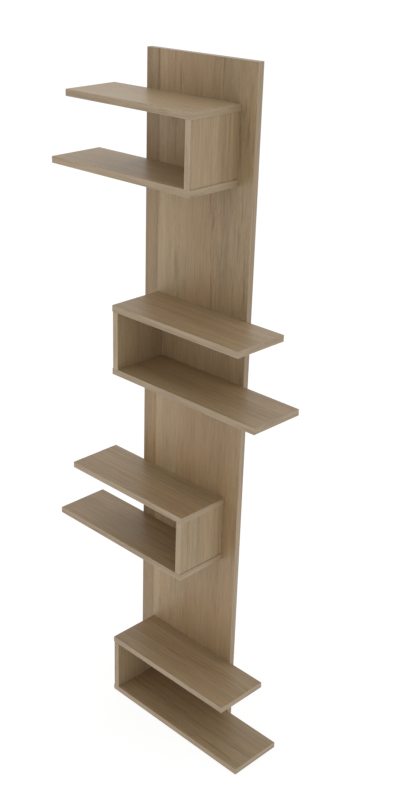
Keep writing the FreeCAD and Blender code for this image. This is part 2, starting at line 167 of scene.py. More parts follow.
class Graph:
    """A node tree, with short calls that add a node and give back its output socket.

    Sockets of the Mix node share their names, so its share and its two sides are told by number.
    """

    value_inputs: ClassVar[tuple[int, ...]] = (0, 2, 3)
    value_output: ClassVar[int] = 0
    colour_inputs: ClassVar[tuple[int, ...]] = (0, 6, 7)
    colour_output: ClassVar[int] = 2

    def __init__(self, tree: bpy.types.NodeTree) -> None:
        """Takes the tree that nodes are added to."""
        self.tree = tree

    @classmethod
    def emptied(cls, owner: bpy.types.Material | bpy.types.World) -> "Graph":
        """Empties the node tree of a material or a world.

        Args:
            owner: The material or the world.

        Returns:
            Its tree, with no nodes in it.
        """
        owner.use_nodes = True
        owner.node_tree.nodes.clear()
        return cls(owner.node_tree)

    def fill(self, node: bpy.types.Node, values: Values) -> None:
        """Links a socket, or sets a plain value, on inputs of a node.

        Args:
            node: The node whose inputs are filled.
            values: A socket or a plain value for each input, by name or number.
        """
        for key, value in values.items():
            if isinstance(value, Socket):
                self.tree.links.new(value, node.inputs[key])
            else:
                node.inputs[key].default_value = value

    def add(self, kind: str, values: Values | None = None, **settings: object) -> bpy.types.Node:
        """Adds a node.

        Args:
            kind: The node's type name in Blender.
            values: A socket or a plain value for each input that is filled.
            settings: The node's own properties.

        Returns:
            The new node.
        """
        node = self.tree.nodes.new(kind)
        for name, value in settings.items():
            setattr(node, name, value)
        self.fill(node, values or {})
        return node

    def math(self, kind: Sum, first: object, second: object = 0.0) -> Socket:
        """Adds a Math node and gives back its value."""
        return self.add("ShaderNodeMath", {0: first, 1: second}, operation=kind.value).outputs[0]

    def vector_math(self, kind: Sum, first: object, second: object) -> Socket:
        """Adds a Vector Math node and gives back its vector."""
        return self.add("ShaderNodeVectorMath", {0: first, 1: second}, operation=kind.value).outputs[0]

    def step(self, value: Socket, start: object, end: object) -> Socket:
        """Gives back 0 up to the start, 1 from the end on and a smooth step between them."""
        values = {"Value": value, "From Min": start, "From Max": end}
        return self.add("ShaderNodeMapRange", values, interpolation_type="SMOOTHSTEP").outputs["Result"]

    def spread(self, value: Socket, low: float, high: float) -> Socket:
        """Gives back a value from 0 to 1, spread from low to high."""
        node = self.add("ShaderNodeMapRange", {"Value": value, "To Min": low, "To Max": high})
        return node.outputs["Result"]

    def between(self, share: object, first: object, second: object) -> Socket:
        """Gives back a value between two others, by the share of the second."""
        values = dict(zip(self.value_inputs, (share, first, second)))
        return self.add("ShaderNodeMix", values).outputs[self.value_output]

    def mix(self, share: object, first: object, second: object, blend: Blend = Blend.PLAIN) -> Socket:
        """Mixes two colours.

        Args:
            share: The share of the second colour, as a socket or a number.
            first: The first colour, as a socket or a linear colour.
            second: The second colour, as a socket or a linear colour.
            blend: The way the colours are mixed.

        Returns:
            The mixed colour.
        """
        colours = [value if isinstance(value, Socket) else (*value, 1.0) for value in (first, second)]
        values = dict(zip(self.colour_inputs, (share, *colours)))
        node = self.add("ShaderNodeMix", values, data_type="RGBA", blend_type=blend.value)
        return node.outputs[self.colour_output]

    def noise(self, vector: Socket, kind: Noise) -> Socket:
        """Adds a noise.

        Args:
            vector: The coordinates that it reads.
            kind: The noise.

        Returns:
            Its value.
        """
        scaled = self.vector_math(Sum.MULTIPLY, vector, (kind.x, kind.y, kind.z))
        values = {"Vector": scaled, "Scale": 1.0, "Detail": kind.detail, "Roughness": kind.roughness}
        return self.add("ShaderNodeTexNoise", values).outputs["Fac"]

    def patches(self, vector: Socket, kind: Patches) -> Socket:
        """Adds a noise and gives back 1 in its patches, 0 outside them and a smooth step between."""
        return self.step(self.noise(vector, kind.noise), kind.start, kind.end)

    def ramp(self, value: Socket, places: Sequence[float], colours: Sequence[Triple]) -> Socket:
        """Adds a colour ramp.

        Args:
            value: The value that is coloured.
            places: The value at each stop.
            colours: The linear colour at each stop.

        Returns:
            The colour.
        """
        node = self.add("ShaderNodeValToRGB", {0: value})
        elements = node.color_ramp.elements
        while len(elements) < len(places):
            elements.new(1.0)
        for element, place, colour in zip(elements, places, colours):
            element.position = place
            element.color = (*colour, 1.0)
        return node.outputs[0]

    def object_vector(self) -> Socket:
        """Gives back the piece's own coordinates."""
        return self.add("ShaderNodeTexCoord").outputs["Object"]

    def axis_places(self, vector: Socket) -> Sequence[Socket]:
        """Gives back a vector's place on each axis."""
        return self.add("ShaderNodeSeparateXYZ", {0: vector}).outputs

    def bump(self, height: Socket, relief: Relief) -> Socket:
        """Gives back a normal roughened by a height."""
        values = {"Height": height, "Strength": relief.strength, "Distance": relief.depth}
        return self.add("ShaderNodeBump", values).outputs[0]


class ShaderGroup:
    """A shader node group with named inputs and outputs, built once and placed in many materials."""

    title: ClassVar[str] = ""
    takes: ClassVar[tuple[str, ...]] = ()
    gives: ClassVar[tuple[str, ...]] = ()
    kinds: ClassVar[dict[str, str]] = {"Vector": "NodeSocketVector", "Color": "NodeSocketColor"}

    @classmethod
    def tree(cls) -> bpy.types.NodeTree:
        """Finds the group's node tree, which the first call builds.

        Returns:
            The node tree.
        """
        found = bpy.data.node_groups.get(cls.title)
        if found:
            return found
        tree = bpy.data.node_groups.new(cls.title, "ShaderNodeTree")
        for names, side in ((cls.takes, "INPUT"), (cls.gives, "OUTPUT")):
            for name in names:
                kind = cls.kinds.get(name, "NodeSocketFloat")
                tree.interface.new_socket(name, in_out=side, socket_type=kind)
        graph = Graph(tree)
        sockets = graph.add("NodeGroupInput").outputs
        graph.add("NodeGroupOutput", cls.draw(graph, {name: sockets[name] for name in cls.takes}))
        return tree

    @classmethod
    def draw(cls, graph: Graph, given: dict[str, Socket]) -> dict[str, Socket]:
        """Draws the inside of the group.

        Args:
            graph: The group's own tree.
            given: The group's inputs, by name.

        Returns:
            The sockets that feed the group's outputs, by name.
        """
        raise NotImplementedError

    @classmethod
    def place(cls, graph: Graph, values: Values) -> dict[str, Socket]:
        """Places the group in a material.

        Args:
            graph: The material's tree.
            values: A socket or a plain value for each of the group's inputs.

        Returns:
            The group's outputs, by name.
        """
        node = graph.add("ShaderNodeGroup", values, node_tree=cls.tree())
        return {name: node.outputs[name] for name in cls.gives}


class WoodGrain(ShaderGroup):
    """Straight quarter-sawn grain. X of the vector runs along it.

    Broad bands carry streaks and thin late-wood lines that crowd in some bands and thin out in others, with
    fibres and pores over them. Each part of the tone is weighed by its own input.
    """

    title = "straight wood grain"
    takes = ("Vector", "Band", "Streak", "Line", "Fibre")
    gives = ("Tone", "Pores", "Tint", "Height")
    wander: ClassVar[Noise] = Noise(1.3, 6.0, 6.0, detail=1.0)
    wander_width: ClassVar[float] = 6 * MM
    band: ClassVar[Noise] = Noise(0.3, 24.0, 9.0)
    crowd: ClassVar[Patches] = Patches(Noise(0.6, 34.0, 14.0), 0.3, 0.66)
    streak: ClassVar[Noise] = Noise(1.6, 130.0, 40.0, detail=3.0, roughness=0.6)
    line: ClassVar[Patches] = Patches(Noise(7.0, 300.0, 90.0, roughness=0.55), 0.52, 0.74)
    fibre: ClassVar[Noise] = Noise(12.0, 480.0, 200.0, detail=4.0, roughness=0.7)
    pore: ClassVar[Patches] = Patches(Noise(55.0, 2100.0, 900.0, detail=1.0), 0.58, 0.7)
    tint: ClassVar[Patches] = Patches(Noise(0.8, 26.0, 10.0, detail=3.0), 0.3, 0.7)
    fibre_height: ClassVar[float] = 0.35

    @classmethod
    def draw(cls, graph: Graph, given: dict[str, Socket]) -> dict[str, Socket]:
        """Draws the grain from noises stretched along it.

        Args:
            graph: The group's own tree.
            given: The group's inputs, by name.

        Returns:
            The sockets that feed the group's outputs, by name.
        """
        vector = given["Vector"]
        wander = graph.spread(graph.noise(vector, cls.wander), -cls.wander_width, cls.wander_width)
        aside = graph.add("ShaderNodeCombineXYZ", {"Y": wander}).outputs[0]
        bent = graph.vector_math(Sum.ADD, vector, aside)
        fibre = graph.noise(bent, cls.fibre)
        swings = {"Band": graph.noise(bent, cls.band), "Streak": graph.noise(bent, cls.streak),
                  "Fibre": fibre}
        crowd = graph.patches(bent, cls.crowd)
        line = graph.math(Sum.MULTIPLY, graph.patches(bent, cls.line), crowd)
        tone = graph.math(Sum.SUBTRACT, MIDDLE, graph.math(Sum.MULTIPLY, line, given["Line"]))
        for name, swing in swings.items():
            weighed = graph.math(Sum.MULTIPLY, graph.math(Sum.SUBTRACT, swing, MIDDLE), given[name])
            tone = graph.math(Sum.ADD, tone, weighed)
        pores = graph.math(Sum.MULTIPLY, graph.patches(bent, cls.pore), crowd)
        tint = graph.patches(vector, cls.tint)
        height = graph.math(Sum.SUBTRACT, graph.math(Sum.MULTIPLY, fibre, cls.fibre_height), pores)
        return {"Tone": tone, "Pores": pores, "Tint": tint, "Height": height}


class PrintedStripe(ShaderGroup):
    """One stripe of the print, that fades out to both sides of its core."""

    title = "printed stripe"
    takes = ("Place", "Middle", "Half", "Core", "Strength")
    gives = ("Tone",)

    @classmethod
    def draw(cls, graph: Graph, given: dict[str, Socket]) -> dict[str, Socket]:
        """Draws the stripe from the distance to its middle: full in the core, nothing past the half width.

        Args:
            graph: The group's own tree.
            given: The group's inputs, by name.

        Returns:
            The sockets that feed the group's outputs, by name.
        """
        off = graph.math(Sum.ABSOLUTE, graph.math(Sum.SUBTRACT, given["Place"], given["Middle"]))
        near = graph.step(off, given["Half"], given["Core"])
        return {"Tone": graph.math(Sum.MULTIPLY, near, given["Strength"])}


class PressedChips(ShaderGroup):
    """The pressed wood chips inside a board, as seen on a sawn edge or in a drilled hole."""

    title = "pressed wood chips"
    takes = ("Vector",)
    gives = ("Color", "Height")
    warp: ClassVar[Noise] = Noise(900.0, 900.0, 900.0)
    warp_width: ClassVar[float] = 0.45 * MM
    flakes_per_metre: ClassVar[Triple] = (520.0, 1500.0, 1150.0)
    fibre: ClassVar[Noise] = Noise(0.5, 4.0, 4.0, detail=3.0)
    fibre_share: ClassVar[float] = 0.5
    glue_width: ClassVar[float] = 0.07
    shade_places: ClassVar[Triple] = (0.25, 0.5, 0.75)
    shades: ClassVar[tuple[Triple, ...]] = (srgb(150, 118, 82), srgb(186, 155, 114), srgb(212, 187, 148))
    glue: ClassVar[Triple] = srgb(148, 118, 84)

    @classmethod
    def draw(cls, graph: Graph, given: dict[str, Socket]) -> dict[str, Socket]:
        """Draws ragged flakes of differing shade, with fibres along them and thin lines of glue between.

        Args:
            graph: The group's own tree.
            given: The group's inputs, by name.

        Returns:
            The sockets that feed the group's outputs, by name.
        """
        vector = given["Vector"]
        ragged = graph.spread(graph.noise(vector, cls.warp), -cls.warp_width, cls.warp_width)
        warped = graph.vector_math(Sum.ADD, vector, ragged)
        scaled = graph.vector_math(Sum.MULTIPLY, warped, cls.flakes_per_metre)
        values = {"Vector": scaled, "Scale": 1.0}
        flakes = graph.add("ShaderNodeTexVoronoi", values, feature="F1").outputs["Color"]
        to_edge = graph.add("ShaderNodeTexVoronoi", values, feature="DISTANCE_TO_EDGE").outputs["Distance"]
        flake = graph.add("ShaderNodeSeparateColor", {0: flakes}).outputs[0]
        shade = graph.between(cls.fibre_share, flake, graph.noise(scaled, cls.fibre))
        gaps = graph.step(to_edge, cls.glue_width, 0.0)
        colour = graph.mix(gaps, graph.ramp(shade, cls.shade_places, cls.shades), cls.glue)
        return {"Color": colour, "Height": graph.math(Sum.SUBTRACT, shade, gaps)}


class Inside(ShaderGroup):
    """1 where a place lies between two ends by more than a margin, and 0 elsewhere."""

    title = "inside by a margin"
    takes = ("Place", "Low", "High", "Margin")
    gives = ("Mask",)

    @classmethod
    def draw(cls, graph: Graph, given: dict[str, Socket]) -> dict[str, Socket]:
        """Compares the place with both ends.

        Args:
            graph: The group's own tree.
            given: The group's inputs, by name.

        Returns:
            The sockets that feed the group's outputs, by name.
        """
        low = graph.math(Sum.ADD, given["Low"], given["Margin"])
        high = graph.math(Sum.SUBTRACT, given["High"], given["Margin"])
        above = graph.math(Sum.GREATER_THAN, given["Place"], low)
        below = graph.math(Sum.LESS_THAN, given["Place"], high)
        return {"Mask": graph.math(Sum.MULTIPLY, above, below)}


class CornerRub(ShaderGroup):
    """Rub on the two long corners of a strip of edging, broken up by a fine noise."""

    title = "rubbed corners"
    takes = ("Vector", "Place", "Low", "High", "Width")
    gives = ("Rub",)
    patch: ClassVar[Patches] = Patches(Noise(60.0, 60.0, 60.0, detail=3.0), 0.35, 0.65)

    @classmethod
    def draw(cls, graph: Graph, given: dict[str, Socket]) -> dict[str, Socket]:
        """Fades in towards the nearer corner, and is stronger where the noise is high.

        Args:
            graph: The group's own tree.
            given: The group's inputs, by name.

        Returns:
            The sockets that feed the group's outputs, by name.
        """
        to_low = graph.math(Sum.SUBTRACT, given["Place"], given["Low"])
        to_high = graph.math(Sum.SUBTRACT, given["High"], given["Place"])
        corner = graph.step(graph.math(Sum.MINIMUM, to_low, to_high), given["Width"], 0.0)
        return {"Rub": graph.math(Sum.MULTIPLY, corner, graph.patches(given["Vector"], cls.patch))}


class Handling(ShaderGroup):
    """Faint cloudy marks from handling and dusting, that change the gloss and not the colour."""

    title = "handling marks"
    takes = ("Vector",)
    gives = ("Marks",)
    cloud: ClassVar[Patches] = Patches(Noise(4.0, 4.0, 4.0, detail=4.0, roughness=0.6), 0.35, 0.7)

    @classmethod
    def draw(cls, graph: Graph, given: dict[str, Socket]) -> dict[str, Socket]:
        """Draws large soft clouds with smaller ones inside them."""
        return {"Marks": graph.patches(given["Vector"], cls.cloud)}


class Plating(ShaderGroup):
    """Cloudy patches and fine scratches of plated steel."""

    title = "plated steel"
    takes = ("Vector",)
    gives = ("Patches", "Scratch")
    patch: ClassVar[Patches] = Patches(Noise(180.0, 180.0, 180.0, detail=3.0), 0.35, 0.65)
    scratch: ClassVar[Noise] = Noise(5200.0, 5200.0, 420.0)

    @classmethod
    def draw(cls, graph: Graph, given: dict[str, Socket]) -> dict[str, Socket]:
        """Draws soft patches of plating, and scratches that run up and down."""
        vector = given["Vector"]
        return {"Patches": graph.patches(vector, cls.patch), "Scratch": graph.noise(vector, cls.scratch)}


@dataclass(frozen=True)
class Finish:
    """What every finish shares: a new material with a shader in it."""

    @staticmethod
    def start(name: str) -> tuple[bpy.types.Material, Graph, bpy.types.Node]:
        """Makes a material with nothing but its shader and output.

        Args:
            name: The material's name.

        Returns:
            The material, its graph and its Principled BSDF.
        """
        material = bpy.data.materials.new(name)
        graph = Graph.emptied(material)
        shader = graph.add("ShaderNodeBsdfPrincipled")
        graph.add("ShaderNodeOutputMaterial", {"Surface": shader.outputs[0]})
        return material, graph, shader


@dataclass(frozen=True)
class GrainWeights:
    """How strongly each part of the grain shows in a finish."""

    band: float
    streak: float
    line: float
    fibre: float

    def place(self, graph: Graph, vector: Socket) -> dict[str, Socket]:
        """Places the grain in a material and gives back its outputs."""
        return WoodGrain.place(graph, {"Vector": vector, "Band": self.band, "Streak": self.streak,
                                       "Line": self.line, "Fibre": self.fibre})


@dataclass(frozen=True)
class Cut:
    """How a piece was cut from the printed sheet: the way its grain runs, and where on the sheet it lay."""

    grain: Axis
    number: int
    sheet: ClassVar[Triple] = (9.0, 3.0, 2.0)
    turns: ClassVar[dict[Axis, Triple]] = {
        Axis.X: (0.0, 0.0, 0.0), Axis.Y: (0.0, 0.0, -math.pi / 2), Axis.Z: (0.0, math.pi / 2, 0.0)}

    def vector(self, graph: Graph) -> Socket:
        """Lays the piece on the sheet, at a place of its own.

        Args:
            graph: The material's graph.

        Returns:
            The piece's coordinates on the sheet, with X along the grain.
        """
        place = [size * (self.number * GOLDEN_SHARE * step % 1.0) for step, size in enumerate(self.sheet, 1)]
        values = {"Vector": graph.object_vector(), "Location": place, "Rotation": self.turns[self.grain]}
        return graph.add("ShaderNodeMapping", values).outputs[0]


@dataclass(frozen=True)
class Stripe:
    """A lighter or darker stripe that the print shows along a whole board, full in its core."""

    middle: float
    half: float
    strength: float
    core: float = 0.0


@dataclass(frozen=True)
class BoardLaminate(Finish):
    """Matt oak-grain laminate on the faces of a chipboard panel, with a line of glue round its edges."""

    dark: Triple = srgb(112, 90, 62)
    middle: Triple = srgb(156, 133, 101)
    light: Triple = srgb(182, 160, 128)
    tone_places: Triple = (0.12, 0.5, 0.88)
    warm: Triple = (1.03, 0.99, 0.945)
    cool: Triple = (0.975, 1.008, 1.03)
    pore: Triple = srgb(84, 64, 43)
    glue: Triple = srgb(74, 56, 38)
    grain: GrainWeights = GrainWeights(band=0.28, streak=0.38, line=0.22, fibre=0.72)
    pore_strength: float = 0.4
    glue_strength: float = 0.6
    glue_line: float = 0.15 * MM
    skin: float = 0.15 * MM
    roughness: Pair = (0.4, 0.48)
    marked_roughness: float = 0.05
    core_roughness: float = 0.85
    relief: Relief = Relief(0.25, 0.06 * MM)
    shade: float = 0.0
    stripes: tuple[Stripe, ...] = ()

    def material(self, name: str, cut: Cut, box: Box) -> bpy.types.Material:
        """Makes the material of one board.

        Args:
            name: The board's name.
            cut: How the board was cut from the sheet.
            box: The board's lowest and highest corners.

        Returns:
            The material.
        """
        material, graph, shader = self.start(name)
        vector = graph.object_vector()
        grain = self.grain.place(graph, cut.vector(graph))
        core, glue = self.masks(graph, vector, box)
        chips = PressedChips.place(graph, {"Vector": vector})
        face = graph.mix(glue, self.print_colour(graph, grain, vector), self.glue)
        marks = Handling.place(graph, {"Vector": vector})["Marks"]
        marked = graph.math(Sum.MULTIPLY, marks, self.marked_roughness)
        gloss = graph.math(Sum.ADD, graph.spread(grain["Height"], *self.roughness), marked)
        rough = graph.math(Sum.MAXIMUM, gloss, graph.math(Sum.MULTIPLY, core, self.core_roughness))
        height = graph.between(core, grain["Height"], chips["Height"])
        graph.fill(shader, {"Base Color": graph.mix(core, face, chips["Color"]), "Roughness": rough,
                            "Normal": graph.bump(height, self.relief)})
        return material

    def print_colour(self, graph: Graph, grain: dict[str, Socket], vector: Socket) -> Socket:
        """Colours the printed face.

        Args:
            graph: The material's graph.
            grain: The outputs of the grain.
            vector: The board's own coordinates.

        Returns:
            The colour of the print.
        """
        across = graph.axis_places(vector)[Axis.X.value]
        tone = graph.math(Sum.ADD, grain["Tone"], self.shade)
        for stripe in self.stripes:
            values = {"Place": across, "Middle": stripe.middle, "Half": stripe.half, "Core": stripe.core,
                      "Strength": stripe.strength}
            tone = graph.math(Sum.ADD, tone, PrintedStripe.place(graph, values)["Tone"])
        toned = graph.ramp(tone, self.tone_places, (self.dark, self.middle, self.light))
        tinted = graph.mix(1.0, toned, graph.mix(grain["Tint"], self.warm, self.cool), Blend.TINT)
        return graph.mix(graph.math(Sum.MULTIPLY, grain["Pores"], self.pore_strength), tinted, self.pore)

    def masks(self, graph: Graph, vector: Socket, box: Box) -> tuple[Socket, Socket]:
        """Tells the board's faces from its core, and finds the line of glue where the edging meets them.

        Args:
            graph: The material's graph.
            vector: The board's own coordinates.
            box: The board's lowest and highest corners.

        Returns:
            A mask of the core, and one of the line of glue at its own strength.
        """
        thin = thinnest(box)
        places = graph.axis_places(vector)
        inside = {}
        for axis in Axis:
            low, high = (corner[axis.value] for corner in box)
            margin = self.skin if axis is thin else self.glue_line
            values = {"Place": places[axis.value], "Low": low, "High": high, "Margin": margin}
            inside[axis] = Inside.place(graph, values)["Mask"]
        first, second = (inside[axis] for axis in Axis if axis is not thin)
        outline = graph.math(Sum.SUBTRACT, 1.0, graph.math(Sum.MULTIPLY, first, second))
        return inside[thin], graph.math(Sum.MULTIPLY, outline, self.glue_strength)


@dataclass(frozen=True)
class StripEdging(Finish):
    """Wood-grain edging strip, a little paler than the boards, rubbed on its rounded corners."""

    dark: Triple = srgb(124, 103, 77)
    middle: Triple = srgb(154, 134, 107)
    light: Triple = srgb(174, 155, 129)
    tone_places: Triple = (0.15, 0.5, 0.85)
    pore: Triple = srgb(98, 78, 55)
    rubbed: Triple = srgb(180, 163, 138)
    grain: GrainWeights = GrainWeights(band=0.3, streak=0.7, line=0.28, fibre=0.6)
    pore_strength: float = 0.35
    rub_strength: float = 0.4
    rub_width: float = 1.0 * MM
    rub_polish: float = 0.1
    roughness: Pair = (0.38, 0.46)
    relief: Relief = Relief(0.2, 0.05 * MM)
    shade: float = 0.0

    def material(self, name: str, cut: Cut, across: Axis, box: Box) -> bpy.types.Material:
        """Makes the material of one strip.

        Args:
            name: The strip's name.
            cut: How the strip was cut from its roll.
            across: The axis that the strip's width lies on.
            box: The strip's lowest and highest corners.

        Returns:
            The material.
        """
        material, graph, shader = self.start(name)
        vector = graph.object_vector()
        grain = self.grain.place(graph, cut.vector(graph))
        tone = graph.math(Sum.ADD, grain["Tone"], self.shade)
        toned = graph.ramp(tone, self.tone_places, (self.dark, self.middle, self.light))
        pored = graph.mix(graph.math(Sum.MULTIPLY, grain["Pores"], self.pore_strength), toned, self.pore)
        place = graph.axis_places(vector)[across.value]
        low, high = (corner[across.value] for corner in box)
        values = {"Vector": vector, "Place": place, "Low": low, "High": high, "Width": self.rub_width}
        rub = CornerRub.place(graph, values)["Rub"]
        colour = graph.mix(graph.math(Sum.MULTIPLY, rub, self.rub_strength), pored, self.rubbed)
        gloss = graph.spread(grain["Height"], *self.roughness)
        rough = graph.math(Sum.SUBTRACT, gloss, graph.math(Sum.MULTIPLY, rub, self.rub_polish))
        graph.fill(shader, {"Base Color": colour, "Roughness": rough,
                            "Normal": graph.bump(grain["Height"], self.relief)})
        return material


@dataclass(frozen=True)
class PlatedSteel(Finish):
    """Plated steel of small hardware, with cloudy plating and fine scratches."""

    pale: Triple = srgb(202, 200, 195)
    deep: Triple = srgb(176, 174, 169)
    roughness: Pair = (0.28, 0.48)
    relief: Relief = Relief(0.15, 0.02 * MM)

    def material(self, name: str) -> bpy.types.Material:
        """Makes the material of one kind of steel piece.

        Args:
            name: The node that it dresses.

        Returns:
            The material.
        """
        material, graph, shader = self.start(name)
        plating = Plating.place(graph, {"Vector": graph.object_vector()})
        colour = graph.mix(plating["Patches"], self.deep, self.pale)
        graph.fill(shader, {"Base Color": colour, "Metallic": 1.0,
                            "Roughness": graph.spread(plating["Scratch"], *self.roughness),
                            "Normal": graph.bump(plating["Scratch"], self.relief)})
        return material


@dataclass(frozen=True)
class TurnedBeech(Finish):
    """Pale beech, as dowels are turned from."""

    dark: Triple = srgb(176, 136, 94)
    light: Triple = srgb(222, 188, 146)
    tone_places: Pair = (0.2, 0.8)
    grain: GrainWeights = GrainWeights(band=0.3, streak=0.6, line=0.1, fibre=0.6)
    roughness: Pair = (0.6, 0.7)
    relief: Relief = Relief(0.3, 0.05 * MM)

    def material(self, name: str, cut: Cut) -> bpy.types.Material:
        """Makes the material of the dowels.

        Args:
            name: The node that it dresses.
            cut: How the dowels were cut from their rod.

        Returns:
            The material.
        """
        material, graph, shader = self.start(name)
        grain = self.grain.place(graph, cut.vector(graph))
        colour = graph.ramp(grain["Tone"], self.tone_places, (self.dark, self.light))
        graph.fill(shader, {"Base Color": colour,
                            "Roughness": graph.spread(grain["Height"], *self.roughness),
                            "Normal": graph.bump(grain["Height"], self.relief)})
        return material


@dataclass(frozen=True)
class MouldedPlastic(Finish):
    """Dark brown moulded plastic with a fine texture, scuffed paler where it slides."""

    colour: Triple = srgb(72, 58, 46)
    scuffed: Triple = srgb(104, 90, 76)
    scuff_strength: float = 0.6
    texture: Noise = Noise(1800.0, 1800.0, 1800.0)
    scuff: Patches = Patches(Noise(90.0, 260.0, 90.0, detail=3.0), 0.5, 0.75)
    roughness: Pair = (0.42, 0.6)
    relief: Relief = Relief(0.3, 0.03 * MM)

    def material(self, name: str) -> bpy.types.Material:
        """Makes the material of the glides.

        Args:
            name: The node that it dresses.

        Returns:
            The material.
        """
        material, graph, shader = self.start(name)
        vector = graph.object_vector()
        texture = graph.noise(vector, self.texture)
        scuffs = graph.math(Sum.MULTIPLY, graph.patches(vector, self.scuff), self.scuff_strength)
        colour = graph.mix(scuffs, self.colour, self.scuffed)
        graph.fill(shader, {"Base Color": colour, "Roughness": graph.spread(texture, *self.roughness),
                            "Normal": graph.bump(texture, self.relief)})
        return material


def dress_node(name: str, material: bpy.types.Material) -> None:
    """Gives a node of the frame its material.

    Args:
        name: The node's name.
        material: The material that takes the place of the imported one.
    """
    for slot in bpy.data.objects[name].material_slots:
        slot.material = material
    LOG.info("dressed %s", name)


class Bench:
    """The hand work that small pieces are modelled with. A piece's place stays in its mesh."""

    sides: ClassVar[int] = 64
    half_side: ClassVar[float] = math.pi / sides
    crease: ClassVar[float] = math.radians(30)
    merge_distance: ClassVar[float] = 0.002 * MM
    turns: ClassVar[dict[Axis, Triple]] = {
        Axis.Y: (math.pi / 2, -half_side, 0.0), Axis.Z: (0.0, 0.0, half_side)}

    @staticmethod
    def take(piece: bpy.types.Object) -> None:
        """Makes a piece the only one that operators act on.

        Args:
            piece: The piece.
        """
        bpy.ops.object.select_all(action="DESELECT")
        piece.select_set(True)
        bpy.context.view_layer.objects.active = piece

    @classmethod
    def open(cls, piece: bpy.types.Object, kind: Part, chosen: Callable[[Vector], bool]) -> None:
        """Opens a piece in edit mode with only the chosen corners, edges or faces selected.

        Args:
            piece: The piece.
            kind: What is selected.
            chosen: Tells whether a point is in the chosen place. An edge or a face is selected if all its
                corners are.
        """
        cls.take(piece)
        bpy.ops.object.mode_set(mode="EDIT")
        bpy.ops.mesh.select_mode(type=kind.value)
        bpy.ops.mesh.select_all(action="DESELECT")
        mesh = bmesh.from_edit_mesh(piece.data)
        for part in {Part.CORNER: mesh.verts, Part.EDGE: mesh.edges, Part.FACE: mesh.faces}[kind]:
            corners = [part] if kind is Part.CORNER else part.verts
            if all(chosen(corner.co) for corner in corners):
                part.select_set(True)
        mesh.select_flush_mode()
        bmesh.update_edit_mesh(piece.data)

    @staticmethod
    def close() -> None:
        """Closes the piece that is open in edit mode."""
        bpy.ops.object.mode_set(mode="OBJECT")

    @classmethod
    def turn_blank(cls, name: str, axis: Axis, start: Vector, height: float,
                   radius: float) -> bpy.types.Object:
        """Adds a round blank, with flat sides that face along the other two axes.

        Args:
            name: The blank's name.
            axis: The axis that it stands on, Y or Z.
            start: The middle of its end with the lower place on that axis.
            height: Its height.
            radius: Its radius.

        Returns:
            The blank.
        """
        middle = start.copy()
        middle[axis.value] += height / 2
        bpy.ops.object.select_all(action="DESELECT")
        bpy.ops.mesh.primitive_cylinder_add(vertices=cls.sides, radius=radius, depth=height, location=middle,
                                            rotation=cls.turns[axis])
        blank = bpy.context.object
        blank.name = name
        bpy.ops.object.transform_apply(location=True, rotation=True, scale=True)
        return blank

    @classmethod
    def draw_on(cls, blank: bpy.types.Object, axis: Axis, end: float, steps: Sequence[Pair]) -> None:
        """Draws a flat round end of a blank on in steps, with a ring of new faces for each.

        Args:
            blank: The blank.
            axis: The axis that it stands on.
            end: The end's place on that axis.
            steps: For each step, how far the end moves along the axis, and the radius that it gets.
        """
        cls.open(blank, Part.FACE, lambda corner: abs(corner[axis.value] - end) < cls.merge_distance)
        face = next(face for face in bmesh.from_edit_mesh(blank.data).faces if face.select)
        middle = face.calc_center_median()
        radius = (face.verts[0].co - middle).length
        for length, new_radius in steps:
            move = Vector()
            move[axis.value] = length
            middle = middle + move
            share = new_radius / radius
            radius = new_radius
            bpy.ops.mesh.extrude_region_move(TRANSFORM_OT_translate={"value": move})
            bpy.ops.transform.resize(value=(share, share, share), center_override=middle)
        cls.close()

    @classmethod
    def pull(cls, piece: bpy.types.Object, chosen: Callable[[Vector], bool], move: Vector) -> None:
        """Moves the corners of a piece that lie in a chosen place.

        Args:
            piece: The piece.
            chosen: Tells whether the corner at a point moves.
            move: How far the corners move.
        """
        cls.open(piece, Part.CORNER, chosen)
        bpy.ops.transform.translate(value=move)
        cls.close()

    @classmethod
    def round_rim(cls, piece: bpy.types.Object, chosen: Callable[[Vector], bool], radius: float,
                  steps: int) -> None:
        """Rounds the edges of a piece that lie in a chosen place.

        Args:
            piece: The piece.
            chosen: Tells whether a point lies on an edge to round.
            radius: How far the rounding reaches from the edge.
            steps: How many facets it has.
        """
        cls.open(piece, Part.EDGE, chosen)
        bpy.ops.mesh.bevel(offset=radius, segments=steps, affect="EDGES")
        cls.close()

    @classmethod
    def bore(cls, piece: bpy.types.Object, chosen: Callable[[Vector], bool]) -> None:
        """Opens a hole between the two faces of a piece that lie in a chosen place, and gives it a wall.

        Args:
            piece: The piece.
            chosen: Tells whether a point lies on one of the two faces.
        """
        cls.open(piece, Part.FACE, chosen)
        bpy.ops.mesh.bridge_edge_loops()
        cls.close()

    @classmethod
    def cut_away(cls, piece: bpy.types.Object, *cutters: bpy.types.Object) -> None:
        """Cuts the shapes of cutters out of a piece, throws the cutters away and merges doubled corners.

        Args:
            piece: The piece.
            cutters: The cutters, one for each hole or part of a hole.
        """
        for cutter in cutters:
            cls.take(piece)
            modifier = piece.modifiers.new("cut", "BOOLEAN")
            modifier.operation = "DIFFERENCE"
            modifier.solver = "EXACT"
            modifier.object = cutter
            bpy.ops.object.modifier_apply(modifier=modifier.name)
            bpy.data.meshes.remove(cutter.data)
        cls.open(piece, Part.CORNER, lambda corner: True)
        bpy.ops.mesh.remove_doubles(threshold=cls.merge_distance)
        bpy.ops.mesh.dissolve_degenerate(threshold=cls.merge_distance)
        cls.close()

